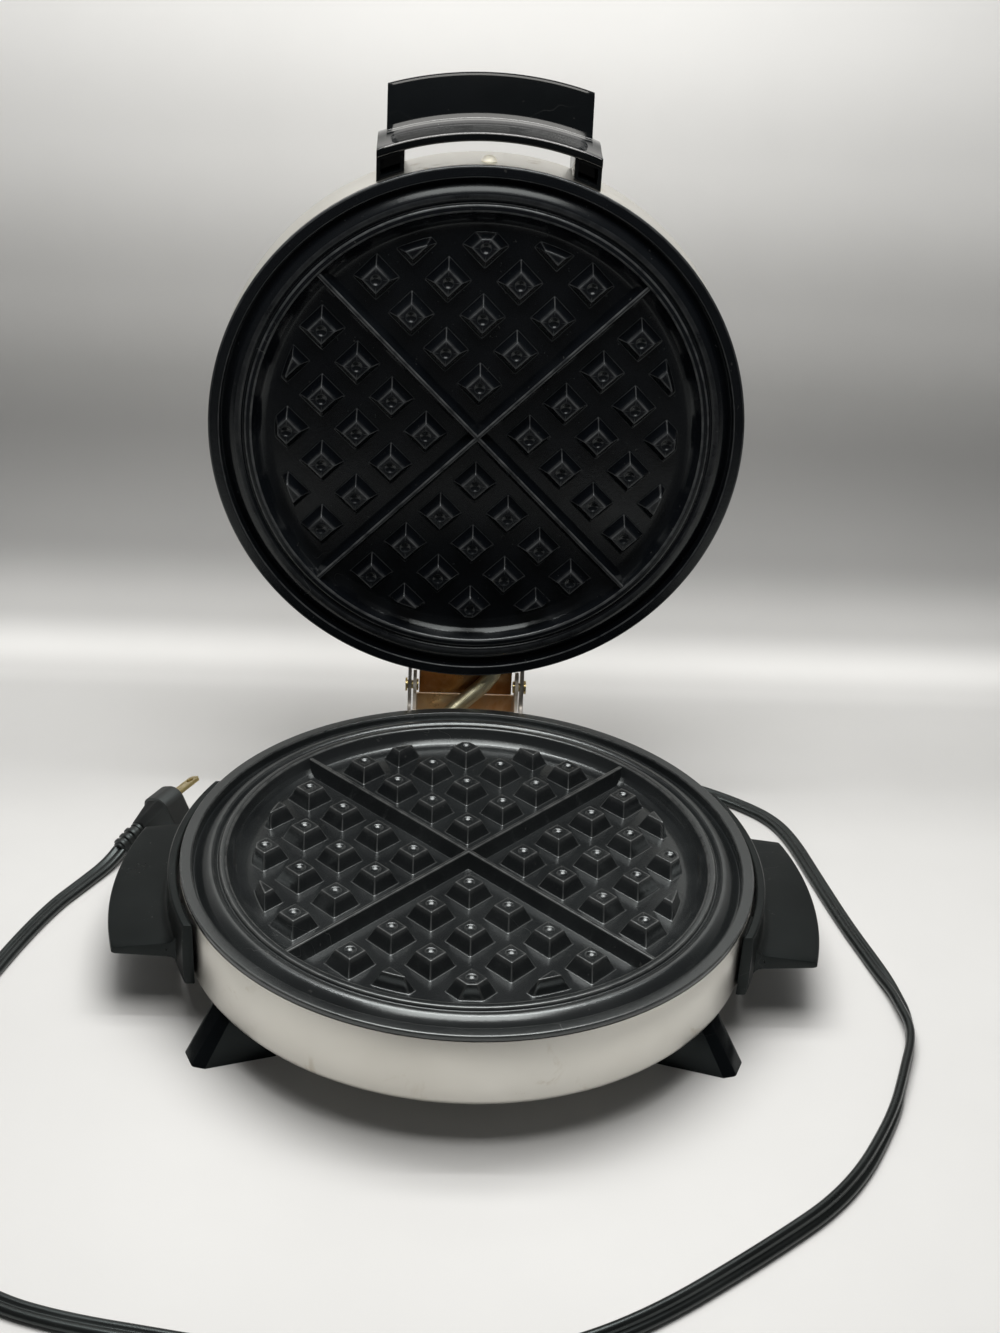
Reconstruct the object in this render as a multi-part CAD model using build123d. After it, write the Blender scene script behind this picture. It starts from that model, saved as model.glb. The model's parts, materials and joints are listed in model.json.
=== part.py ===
from build123d import *
import os
from math import sin, cos, tan, radians, degrees, hypot, atan2, sqrt, pi

os.makedirs("parts", exist_ok=True)

# ---------------------------------------------------------------- driving dimensions (mm)
FLOOR_DROP = 50.0        # tops of the lower grid's studs stand this high above the table
R_RIM = 115.3            # outer radius of the grid flanges and of both steel shells
PITCH = 21.08            # stud pitch, measured square to the ribs
U0 = 15.79               # first stud row from each rib
STUD_TOP = 4.03          # half side of a stud's top
STUD_FOOT = 6.8          # half side of a stud's foot
CELL_DEPTH = 6.3         # stud height
CLIP_R_TOP, CLIP_R_FOOT = 85.8, 87.2
DIMPLE_R, DIMPLE_D = 2.25, 1.0
RIB_TOP, RIB_FOOT, RIB_END = 0.7, 3.0, 95.6
GAP = 2.1                # stud plane to stud plane when the lid is shut
HINGE_Y, HINGE_Z = 124.07, 7.86   # hinge line, from the lower grid's centre and stud plane
OPEN_DEG = 90.37         # lid's swing between shut and the open stop
SHELL_T = 0.8            # sheet thickness of the shells
SHELL_H = 31.4           # stud plane to the shell's flat edge
BACK_LEG_TURN = 5.0      # the back legs sit further round, under the weight of the open lid
PIN_R = 2.0
EAR_IN, EAR_OUT, EAR_T = 23.7, 26.1, 1.6
BOSS_R, BOSS_D = 80.0, 9.0
ELEMENT_R, ELEMENT_D = 60.0, 6.6
CONDUIT_D = 7.6
CORD_D = 7.0
PLUG_HEADING, PLUG_RISE, PLUG_LEAN, BLADE_L = 57.0, 5.5, 23.0, 15.9
CORD_EXIT_DEG, CORD_EXIT_Z, CORD_EXIT_DIP = 56.5, -19.0, 35.0

# ---------------------------------------------------------------- helpers
def prof(pts):
    return Plane.XZ * make_face(Polyline(*pts, close=True))

def spin(pts, a0=0.0, a1=360.0):
    s = revolve(prof(pts), axis=Axis.Z, revolution_arc=a1 - a0)
    return Rot(0, 0, a0) * s if a0 else s

def rod(p, q, r):
    p, q = Vector(*p), Vector(*q)
    d = q - p
    return Plane(origin=p, z_dir=d) * Cylinder(r, d.length, align=(Align.CENTER, Align.CENTER, Align.MIN))

def block(x0, x1, y0, y1, z0, z1):
    return Pos((x0 + x1) / 2, (y0 + y1) / 2, (z0 + z1) / 2) * Box(x1 - x0, y1 - y0, z1 - z0)

def soft(s, r):
    return fillet(s.edges(), r)

def polar(r, deg, z=0.0):
    return (r * cos(radians(deg)), r * sin(radians(deg)), z)

def solid_only(s):
    ss = s.solids()
    return ss[0] if len(ss) == 1 else Compound(children=list(ss))

def bend_radii(pts):
    out = []
    for i in range(1, len(pts) - 1):
        a = Vector(*pts[i]) - Vector(*pts[i - 1])
        b = Vector(*pts[i + 1]) - Vector(*pts[i])
        t = a.get_angle(b)
        out.append(0.45 * min(a.length, b.length) / tan(radians(max(t, 1.0)) / 2))
    return out

def tube(pts, d, label=None):
    radii = bend_radii(pts)
    path = FilletPolyline(*pts, radius=radii)
    start = Vector(*pts[1]) - Vector(*pts[0])
    sec = Plane(origin=pts[0], z_dir=start) * Circle(d / 2)
    s = sweep(sec, path=path)
    if label:
        print(label, "least bend radius %.1f" % min(radii), "length %.1f" % path.length,
              "volume ratio %.4f" % (s.volume / (pi * d * d / 4 * path.length)))
    return s

def flip_to_lid(s):
    # a piece drawn for the base, mirrored to face down over it
    return Pos(0, 0, GAP) * mirror(s, about=Plane.XY)

HINGE = Axis((0, HINGE_Y, HINGE_Z), (1, 0, 0))
def opened(s):
    return s.rotate(HINGE, -OPEN_DEG)

def screw(p, outward, shank, r=1.9, head_r=3.5, head_h=2.0):
    # pan head standing on p, shank running against the outward direction
    pl = Plane(origin=p, z_dir=outward)
    head = Cylinder(head_r, head_h, align=(Align.CENTER, Align.CENTER, Align.MIN))
    head = fillet(head.edges().group_by(Axis.Z)[-1], min(head_r * 0.45, head_h * 0.7))
    body = Pos(0, 0, -shank) * Cylinder(r, shank + 0.2, align=(Align.CENTER, Align.CENTER, Align.MIN))
    slot = Pos(0, 0, head_h) * (Box(head_r * 1.3, 0.9, 1.4) + Box(0.9, head_r * 1.3, 1.4))
    return pl * (head + body - slot)

base, lid = {}, {}

# ---------------------------------------------------------------- grids
plate_pts = [(0, -CELL_DEPTH), (88.6, -CELL_DEPTH), (91.2, -6.0), (93.2, -5.1), (94.9, -3.4), (96.0, -1.3),
             (96.7, 0.35), (97.3, 0.9), (99.5, 0.9), (99.9, 0.5), (100.3, -0.3), (100.8, -0.35), (101.3, 0.2),
             (102.1, 0.72), (103.1, 0.9), (104.1, 0.75), (105.1, 0.32), (106.1, -0.3), (107.1, -1.1), (108.1, -2.0),
             (109.0, -2.75), (109.6, -3.05), (110.15, -3.05), (110.4, -0.2), (110.6, 0.65), (110.9, 0.9), (114.6, 0.9), (115.1, 0.7), (R_RIM, 0.2),
             (R_RIM, -1.1), (115.0, -1.4), (114.1, -1.4), (114.1, -5.6), (112.2, -5.6), (112.0, -4.8),
             (99.5, -4.6), (96.8, -6.2), (93.5, -9.0), (90.5, -9.5), (0, -9.5)]
grid = spin(plate_pts)

stud0 = loft([Pos(0, 0, -CELL_DEPTH - 0.4) * Rot(0, 0, 45) * Rectangle(2 * (STUD_FOOT + 0.17), 2 * (STUD_FOOT + 0.17)),
              Rot(0, 0, 45) * Rectangle(2 * STUD_TOP, 2 * STUD_TOP)], ruled=True)
clip = spin([(0, -7.0), (CLIP_R_FOOT + 0.15, -7.0), (CLIP_R_TOP, 0.0), (CLIP_R_TOP, 1.0), (0, 1.0)])
studs, whole = [], []
for quarter in range(4):
    for k in range(5):
        along = (2 * U0 + k * PITCH) / sqrt(2)
        for m in range(k + 1):
            if k == 4 and m in (0, 4):
                continue
            across = (2 * m - k) * PITCH / sqrt(2)
            q = Rot(0, 0, 90 * quarter) * Pos(along, across, 0)
            if k < 4:
                studs.append(q * stud0)
                whole.append(q)
            else:
                studs.append((q * stud0) & clip)
                if m == 2:
                    whole.append(q)
ribs = []
for a in (45, 135):
    sec = Plane.YZ * make_face(Polyline((-RIB_FOOT - 0.15, -6.7), (RIB_FOOT + 0.15, -6.7), (RIB_TOP, -0.15), (RIB_TOP - 0.3, 0.0),
                                        (-RIB_TOP + 0.3, 0.0), (-RIB_TOP, -0.15), close=True))
    ribs.append(Rot(0, 0, a) * Pos(-RIB_END, 0, 0) * extrude(sec, RIB_END * 2, dir=(1, 0, 0)))
bosses = [Pos(*polar(BOSS_R, 45 + 90 * i, -28.9)) * Cylinder(BOSS_D / 2, 20.4, align=(Align.CENTER, Align.CENTER, Align.MIN))
          for i in range(4)]
grid = grid + (studs + ribs + bosses)
ball_r = (DIMPLE_R ** 2 + DIMPLE_D ** 2) / (2 * DIMPLE_D)
grid = grid - [q * Pos(0, 0, ball_r - DIMPLE_D) * Sphere(ball_r) for q in whole]
grid = grid - [Pos(*polar(BOSS_R, 45 + 90 * i, -29)) * Cylinder(1.95, 15, align=(Align.CENTER, Align.CENTER, Align.MIN)) for i in range(4)]
lower_grid = grid
upper_grid = flip_to_lid(grid)
for i in range(4):   # the upper grid's posts reach the crowned lid
    upper_grid = upper_grid + (Pos(*polar(BOSS_R, 45 + 90 * i, GAP + 28.0)) *
                               (Cylinder(BOSS_D / 2, 4.6, align=(Align.CENTER, Align.CENTER, Align.MIN))
                                - Cylinder(1.95, 4.6, align=(Align.CENTER, Align.CENTER, Align.MIN))))
base["lower_grid"] = lower_grid
lid["upper_grid"] = upper_grid

# ---------------------------------------------------------------- shells
wall = [(R_RIM, -1.6), (R_RIM, -28.4), (115.0, -29.7), (114.2, -30.75), (113.2, -31.25), (112.0, -SHELL_H)]
wall_in = [(112.0, -SHELL_H + SHELL_T), (113.0, -30.45), (113.75, -29.9), (114.3, -29.2), (R_RIM - SHELL_T, -28.3), (R_RIM - SHELL_T, -1.6)]
base_shell = spin(wall + [(101.0, -SHELL_H), (100.6, -30.6)] + wall_in)
crown = [(112.0, 31.4), (100.0, 31.9), (97.6, 32.2), (95.8, 33.2), (93.8, 33.8), (80.0, 34.15), (60.0, 34.55), (40.0, 34.85), (20.0, 35.0), (0.0, 35.05)]
crown_in = [(0.0, 34.25), (20.0, 34.2), (40.0, 34.05), (60.0, 33.75), (80.0, 33.35), (93.6, 33.0), (95.2, 32.5), (97.0, 31.5), (99.6, 31.1), (112.0, 30.6)]
lid_shell = spin([(r, -z) for r, z in wall[:-1]] + crown + crown_in + [(r, -z) for r, z in wall_in[1:]])
lid_shell = Pos(0, 0, GAP) * lid_shell

pan = spin([(0, -30.5), (110.5, -30.5), (110.5, -29.7), (98.5, -29.7), (0, -29.7)])
pan = pan - [Rot(0, 0, 30 * i) * Pos(64, 0, -30) * extrude(Rot(0, 0, 0) * SlotOverall(22, 3.2), 3, both=True) for i in range(12) if i % 3]
for i in range(4):
    pan = pan - Pos(*polar(BOSS_R, 45 + 90 * i, -30)) * Cylinder(2.2, 4)
base_screws = [screw(polar(BOSS_R, 45 + 90 * i, -30.5), (0, 0, -1), 13.5) for i in range(4)]
lid_screws = [screw(polar(BOSS_R, 45 + 90 * i, GAP + 34.32), (0, 0, 1), 12.0, head_h=1.9) for i in range(4)]
lid_shell = lid_shell - [Pos(*polar(BOSS_R, 45 + 90 * i, GAP + 33)) * Cylinder(2.2, 6) for i in range(4)]

# ---------------------------------------------------------------- handles
def handle(profile_flange, profile_tongue, half_flange, half_tongue):
    fl = spin(profile_flange, -40, 40) & block(60, 160, -half_flange, half_flange, -60, 60)
    tg = spin(profile_tongue, -35, 35) & block(60, 160, -half_tongue, half_tongue, -60, 60)
    return fl + tg

side_flange = [(116.6, -3.0), (117.1, -2.5), (119.5, -2.5), (120.1, -3.1), (120.35, -10.0), (120.5, -22.0), (120.35, -26.0), (120.1, -29.4), (119.5, -30.0), (117.1, -30.0), (116.6, -29.5)]
side_tongue = [(118.5, -15.0), (120.4, -15.2), (121.0, -16.5), (122.2, -17.5), (124.0, -18.1), (142.9, -20.6), (143.7, -21.0), (144.0, -21.6), (144.0, -22.6), (143.5, -23.2),
               (142.5, -23.4), (124.0, -24.3), (122.0, -24.7), (120.9, -25.6), (120.3, -27.0), (118.5, -27.0)]
side = handle(side_flange, side_tongue, 51.4, 42.0)
for s in (-1, 1):
    post = spin([(R_RIM + 0.08, -5.0), (118.0, -5.0), (118.0, -28.0), (R_RIM + 0.08, -28.0)], -40, 40)
    post = post & block(60, 160, min(s * 34.0, s * 47.0), max(s * 34.0, s * 47.0), -60, 60)
    side = side + post
SIDE_SCREW = [(s * 19.0, -20.5) for s in (-1, 1)]
side_screws = [screw(polar(114.45, a, z), (-cos(radians(a)), -sin(radians(a)), 0), 9.0, r=1.9, head_r=3.4) for a, z in SIDE_SCREW]
side = side - [rod(polar(110, a, z), polar(124.2, a, z), 1.95) for a, z in SIDE_SCREW]
shell_holes = [rod(polar(110, a, z), polar(118, a, z), 2.1) for a, z in SIDE_SCREW]
base_shell = base_shell - shell_holes - [Rot(0, 0, 180) * h for h in shell_holes]
base["right_side_handle"] = side
base["left_side_handle"] = Rot(0, 0, 180) * side
base["right_handle_screws"] = side_screws
base["left_handle_screws"] = [Rot(0, 0, 180) * s for s in side_screws]

lid_flange = [(124.0, -3.0), (124.5, -2.5), (126.9, -2.5), (127.5, -3.1), (128.0, -8.0), (128.9, -13.0), (130.0, -17.0), (130.4, -22.0), (130.0, -26.0),
              (129.4, -29.4), (128.8, -30.0), (125.0, -30.0), (124.5, -29.5)]
lid_tongue = [(127.0, -12.0), (128.7, -12.2), (129.7, -15.0), (131.0, -16.8), (133.0, -17.8), (146.4, -20.5), (147.2, -21.0), (147.6, -21.7), (147.6, -22.6), (147.0, -23.3),
              (146.0, -23.5), (133.0, -24.4), (131.2, -25.0), (130.2, -26.2), (127.0, -27.0)]
top = handle(lid_flange, lid_tongue, 45.4, 41.8)
for s in (-1, 1):
    post = spin([(R_RIM + 0.08, -3.6), (126.0, -3.6), (126.0, -28.0), (R_RIM + 0.08, -28.0)], -40, 40)
    post = post & block(60, 160, min(s * 34.2, s * 45.4), max(s * 34.2, s * 45.4), -60, 60)
    cavity = spin([(117.0, -3.0), (123.0, -3.0), (123.0, -17.0), (117.0, -17.0)], -40, 40)
    cavity = cavity & block(60, 160, min(s * 35.8, s * 43.8), max(s * 35.8, s * 43.8), -60, 60)
    top = top + post - cavity
LID_SCREW = [(s * 19.2, -22.5) for s in (-1, 1)]
top_screws = [screw(polar(114.45, a, z), (-cos(radians(a)), -sin(radians(a)), 0), 9.0, r=1.9, head_r=3.4) for a, z in LID_SCREW]
top = top - [rod(polar(110, a, z), polar(124.2, a, z), 1.95) for a, z in LID_SCREW]
to_front = lambda s: Rot(0, 0, -90) * flip_to_lid(s)
lid["lid_handle"] = to_front(top)
lid["lid_handle_screws"] = [to_front(s) for s in top_screws]
lid_shell = lid_shell - [to_front(rod(polar(110, a, z), polar(118, a, z), 2.1)) for a, z in LID_SCREW]

# ---------------------------------------------------------------- pilot light in the front of the lid
PILOT_Z = GAP + 9.3
lens = Pos(0, 0, -1.07) * Sphere(3.47) & Pos(0, 0, 1.5) * Cylinder(3.6, 3.0)
lens = lens + Pos(0, 0, -4) * Cylinder(2.5, 4.2, align=(Align.CENTER, Align.CENTER, Align.MIN))
lens = lens - Pos(0, 0, -5) * Cylinder(1.6, 4.5, align=(Align.CENTER, Align.CENTER, Align.MIN))
lens_at = Plane(origin=(0, -R_RIM - 0.02, PILOT_Z), z_dir=(0, -1, 0))
lid["pilot_lens"] = lens_at * lens
lid_shell = lid_shell - rod((0, -110, PILOT_Z), (0, -120, PILOT_Z), 2.6)
lid["pilot_lamp"] = lens_at * (Pos(0, 0, -15.2) * soft(Cylinder(1.45, 13, align=(Align.CENTER, Align.CENTER, Align.MIN)), 0.6))
lid["pilot_lens_retainer"] = lens_at * (Pos(0, 0, -1.75) * (Cylinder(3.4, 0.8) - Cylinder(2.55, 2)))

# ---------------------------------------------------------------- hinge
WEB_Y = 129.2
def yz_plate(pts, x, t):
    f = Plane.YZ * make_face(Polyline(*pts, close=True))
    return Pos(x - t / 2, 0, 0) * extrude(f, t, dir=(1, 0, 0))

hy, hz = HINGE_Y, HINGE_Z
arc = lambda cy, cz, r, a0, a1, n: [(cy + r * cos(radians(a0 + (a1 - a0) * i / n)), cz + r * sin(radians(a0 + (a1 - a0) * i / n))) for i in range(n + 1)]
base_ear = [(112.6, -23.0), (WEB_Y + 1.2, -23.0), (WEB_Y + 1.2, 0.2), (129.4, 5.0)] + arc(hy, hz, 4.6, 5, 40, 4) + [(126.9, 12.6), (125.6, 14.8), (123.8, 15.4), (122.1, 14.4)] \
           + arc(hy, hz, 4.5, 140, 215, 7) + [(119.6, 2.4), (117.6, -2.0), (112.6, -4.0)]
base_bracket = spin([(R_RIM + 0.05, -24.0), (R_RIM + 1.05, -24.0), (R_RIM + 1.05, -4.0), (R_RIM + 0.05, -4.0)], 90 - 14.2, 90 + 14.2)
for s in (-1, 1):
    base_bracket = base_bracket + yz_plate(base_ear, s * EAR_IN, EAR_T)
base_bracket = base_bracket + block(-EAR_IN, EAR_IN, WEB_Y, WEB_Y + 1.2, -23.0, 0.2)
# the lid's ears, drawn with the lid shut; the tail that meets the stop swings out behind the hinge
lid_ear = [(111.3, 9.2), (114.0, 6.0), (118.5, 4.4), (121.5, 3.7), (123.4, 3.55)] + \
          [(128.0, 3.7), (131.5, 1.2), (135.4, -2.4), (137.8, -2.6), (138.3, 0.0), (136.4, 4.6), (136.0, 11.0), (134.6, 12.2), (130.0, 12.0)] + \
          arc(hy, hz, 4.4, 62, 118, 5) + [(118.0, 14.0), (116.0, 24.0), (111.3, 26.0)]
lid_bracket = spin([(R_RIM + 0.05, GAP + 4.0), (R_RIM + 1.05, GAP + 4.0), (R_RIM + 1.05, GAP + 25.0), (R_RIM + 0.05, GAP + 25.0)], 90 - 14.4, 90 + 14.4)
for s in (-1, 1):
    lid_bracket = lid_bracket + yz_plate(lid_ear, s * EAR_OUT, EAR_T)
LID_WEB_Z = hz + WEB_Y - hy
lid_bracket = lid_bracket + block(-21.7, 21.7, 114.6, hy + 6.9, LID_WEB_Z, LID_WEB_Z + 1.2)
lid_bracket = lid_bracket - spin([(100, 0), (R_RIM + 0.05, 0), (R_RIM + 0.05, 60), (100, 60)], 60, 120)
base_bracket = base_bracket - spin([(100, -40), (R_RIM + 0.05, -40), (R_RIM + 0.05, 0), (100, 0)], 60, 120)
for s in (-1, 1):
    base_bracket = base_bracket - rod((s * 22.0, hy, hz), (s * 24.9, hy, hz), PIN_R)
    lid_bracket = lid_bracket - rod((s * 25.1, hy, hz), (s * 30, hy, hz), PIN_R + 0.05)
pins = [rod((s * 22.4, hy, hz), (s * 27.5, hy, hz), PIN_R) + rod((s * 27.2, hy, hz), (s * 28.1, hy, hz), 3.1) + rod((s * 22.0, hy, hz), (s * 22.85, hy, hz), 2.7)
        for s in (-1, 1)]

# conduit for the lid's leads: out of the base's back wall, up past the hinge line, into the lid
conduit_pts = [(-13.6, 103.0, -18.4), (-12.8, 114.0, -15.6), (-8.8, 123.4, -8.4), (1.5, 124.3, 1.6), (9.6, 124.4, 9.6), (14.0, 125.4, 17.2), (15.0, 129.8, 26.0)]
conduit = tube(conduit_pts, CONDUIT_D, "conduit")
hole_base = tube(conduit_pts[:3], CONDUIT_D + 1.6)
base_shell = base_shell - hole_base
base_bracket = base_bracket - hole_base
def closed(s):
    return s.rotate(HINGE, OPEN_DEG)
hole_lid = closed(tube(conduit_pts[-3:], CONDUIT_D + 1.6))
lid_shell = lid_shell - hole_lid
lid_bracket = lid_bracket - hole_lid
lid["upper_grid"] = lid["upper_grid"] - hole_lid

# rivets that hold the brackets to the shells
base_rivets, lid_rivets = [], []
for a in (-9.0, 9.0):
    for z, bag in ((-8.6, base_rivets), (-20.6, base_rivets)):
        b = 90 + a
        bag.append(rod(polar(R_RIM - 1.2, b, z), polar(R_RIM + 1.05, b, z), 1.5) + rod(polar(R_RIM - 2.2, b, z), polar(R_RIM - 0.87, b, z), 2.8)
                   + rod(polar(R_RIM + 1.05, b, z), polar(R_RIM + 2.1, b, z), 2.8))
for a in (-9.0, 9.0):
    for z in (GAP + 15.5, GAP + 22.1):
        b = 90 + a
        lid_rivets.append(rod(polar(R_RIM - 1.2, b, z), polar(R_RIM + 1.05, b, z), 1.5) + rod(polar(R_RIM - 2.2, b, z), polar(R_RIM - 0.87, b, z), 2.8)
                          + rod(polar(R_RIM + 1.05, b, z), polar(R_RIM + 2.1, b, z), 2.8))
for a in (-9.0, 9.0):
    for z in (-8.6, -20.6):
        b = 90 + a
        h = rod(polar(R_RIM - 3, b, z), polar(R_RIM + 3, b, z), 1.5)
        base_shell = base_shell - h
        base_bracket = base_bracket - h
for a in (-9.0, 9.0):
    for z in (GAP + 15.5, GAP + 22.1):
        h = rod(polar(R_RIM - 3, 90 + a, z), polar(R_RIM + 3, 90 + a, z), 1.5)
        lid_shell = lid_shell - h
        lid_bracket = lid_bracket - h
base["base_hinge_bracket"] = base_bracket
base["hinge_pins"] = pins
base["base_bracket_rivets"] = base_rivets
lid["lid_hinge_bracket"] = lid_bracket
lid["lid_bracket_rivets"] = lid_rivets

# ---------------------------------------------------------------- heating elements, reflectors, clips
def element():
    ring = Rot(0, 0, -70) * revolve(Plane.XZ * Pos(ELEMENT_R, -13.1) * Circle(ELEMENT_D / 2), axis=Axis.Z, revolution_arc=320)
    a0, a1 = -70.0, 250.0
    out = ring
    for a, s in ((a0, 1), (a1, -1)):
        p = polar(ELEMENT_R, a, -13.1)
        t = (-s * -sin(radians(a)), -s * cos(radians(a)))
        q = (p[0] + t[0] * 6.0, p[1] + t[1] * 6.0, -13.1)
        out = out + rod(p, q, ELEMENT_D / 2) + rod(q, (q[0] + t[0] * 1.2, q[1] + t[1] * 1.2, -13.1), 2.6) \
              + rod(q, (q[0] + t[0] * 7.0, q[1] + t[1] * 7.0, -13.1), 1.2)
    return out
el = element()
base["lower_heating_element"] = el
lid["upper_heating_element"] = flip_to_lid(el)
clips, clip_screws = [], []
for a in (0, 60, 120, 180):
    c = block(-5.3, 5.3, -4, 4, -17.6, -16.7) + block(-5.3, -4.4, -4, 4, -17.6, -9.6) + block(4.4, 5.3, -4, 4, -17.6, -9.6) \
        + block(-14, -5.3, -4, 4, -10.5, -9.6) + block(5.3, 14, -4, 4, -10.5, -9.6)
    c = c - [Pos(x, 0, -10) * Cylinder(1.6, 4) for x in (-10, 10)]
    clips.append(Rot(0, 0, a) * Pos(ELEMENT_R, 0, 0) * c)
    for x in (-10, 10):
        clip_screws.append(Rot(0, 0, a) * Pos(ELEMENT_R + x, 0, -10.5) * (Pos(0, 0, -1.4) * Cylinder(2.7, 1.4, align=(Align.CENTER, Align.CENTER, Align.MIN)) + Cylinder(1.45, 2.6, align=(Align.CENTER, Align.CENTER, Align.MIN))))
sock = [Rot(0, 0, a) * Pos(ELEMENT_R + x, 0, -9.7) * Cylinder(1.5, 2.2, align=(Align.CENTER, Align.CENTER, Align.MIN)) for a in (0, 60, 120, 180) for x in (-10, 10)]
base["lower_grid"] = base["lower_grid"] - sock
lid["upper_grid"] = lid["upper_grid"] - [flip_to_lid(s) for s in sock]
base["lower_element_clips"] = clips
base["lower_clip_screws"] = clip_screws
lid["upper_element_clips"] = [flip_to_lid(c) for c in clips]
lid["upper_clip_screws"] = [flip_to_lid(c) for c in clip_screws]

refl = spin([(20, -23.6), (86.0, -23.6), (96.0, -19.0), (103.0, -19.0), (103.0, -18.4), (95.8, -18.4), (85.8, -23.0), (20, -23.0)])
refl = refl - [Pos(*polar(BOSS_R, 45 + 90 * i, -22)) * Cylinder(5.0, 8) for i in range(4)]
refl = refl + [Rot(0, 0, 45 + 90 * i) * (block(100.0, 103.0, -5, 5, -19.0, -18.4) + block(102.4, 103.0, -5, 5, -29.6, -18.4)) for i in range(4)]
base["lower_reflector"] = refl
refl_up = spin([(20, -23.6), (86.0, -23.6), (96.0, -19.0), (103.0, -19.0), (103.0, -18.4), (95.8, -18.4), (85.8, -23.0), (20, -23.0)])
refl_up = refl_up - [Pos(*polar(BOSS_R, 45 + 90 * i, -22)) * Cylinder(5.0, 8) for i in range(4)]
refl_up = refl_up + [Rot(0, 0, 45 + 90 * i) * (block(100.0, 103.0, -5, 5, -19.0, -18.4) + block(102.4, 103.0, -5, 5, -30.6, -18.4)) for i in range(4)]
lid["upper_reflector"] = flip_to_lid(refl_up)

# thermostat under the lower grid, thermal cut-out over the upper one
thermo = Pos(0, 0, -13.6) * Cylinder(8.2, 4.0, align=(Align.CENTER, Align.CENTER, Align.MIN)) + Pos(0, 0, -19.6) * Cylinder(7.4, 6.2, align=(Align.CENTER, Align.CENTER, Align.MIN))
thermo = thermo + Pos(0, 0, -14.0) * Box(28, 7, 0.8) + block(-4.2, -3.4, -2.5, 2.5, -26.5, -19.4) + block(3.4, 4.2, -2.5, 2.5, -26.5, -19.4)
thermo = thermo + block(-14, -10.5, -3.5, 3.5, -14.4, -9.6) + block(10.5, 14, -3.5, 3.5, -14.4, -9.6)
base["thermostat"] = thermo
cutout = rod((-9, 0, -12.6), (9, 0, -12.6), 2.6) + rod((-20, 0, -12.6), (20, 0, -12.6), 0.6)
lid["thermal_cutout"] = flip_to_lid(cutout)
strap = (block(-3, 3, -3.6, 3.6, -16.2, -15.4) + block(-3, 3, -3.6, -2.8, -16.2, -9.6) + block(-3, 3, 2.8, 3.6, -16.2, -9.6)
         + block(-3, 3, -9, -2.8, -10.4, -9.6) + block(-3, 3, 2.8, 9, -10.4, -9.6))
lid["cutout_strap"] = flip_to_lid(strap)

# ---------------------------------------------------------------- cord outlet and joints inside the base
ca = CORD_EXIT_DEG
cr, sr = cos(radians(ca)), sin(radians(ca))
exit_dir = Vector(cr * cos(radians(CORD_EXIT_DIP)), sr * cos(radians(CORD_EXIT_DIP)), -sin(radians(CORD_EXIT_DIP)))
wall_pt = Vector(*polar(R_RIM, ca, CORD_EXIT_Z))
bush_plane = Plane(origin=wall_pt, z_dir=(cr, sr, 0))
relief_len = 20.0
relief = bush_plane * (Pos(0, 0, 0.05) * Cylinder(7.6, 2.4, align=(Align.CENTER, Align.CENTER, Align.MIN)) + Pos(0, 0, -3.4) * Cylinder(5.6, 4, align=(Align.CENTER, Align.CENTER, Align.MIN))
                       + Pos(0, 0, -3.4) * Cylinder(6.9, 2.3, align=(Align.CENTER, Align.CENTER, Align.MIN)))
sleeve0 = wall_pt + Vector(cr, sr, 0) * 2.4
sleeve1 = sleeve0 + exit_dir * relief_len
relief = relief + loft([Plane(origin=sleeve0, z_dir=(cr, sr, 0)) * Circle(6.2), Plane(origin=sleeve1, z_dir=exit_dir) * Circle(4.4)])
base["cord_strain_relief"] = relief
base_shell = base_shell - bush_plane * (Pos(0, 0, -4) * Cylinder(5.7, 8, align=(Align.CENTER, Align.CENTER, Align.MIN)))

splice = []
for (x, y, a) in ((34.0, 70.0, 20.0), (8.0, 84.0, 0.0), (-30.0, 78.0, -25.0)):
    body = Rot(90, 0, 0) * (Pos(0, 0, -7) * Cylinder(2.6, 14, align=(Align.CENTER, Align.CENTER, Align.MIN)))
    splice.append(Pos(x, y, -26.7) * Rot(0, 0, a) * soft(body, 0.8))
base["wire_connectors"] = splice

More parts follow.
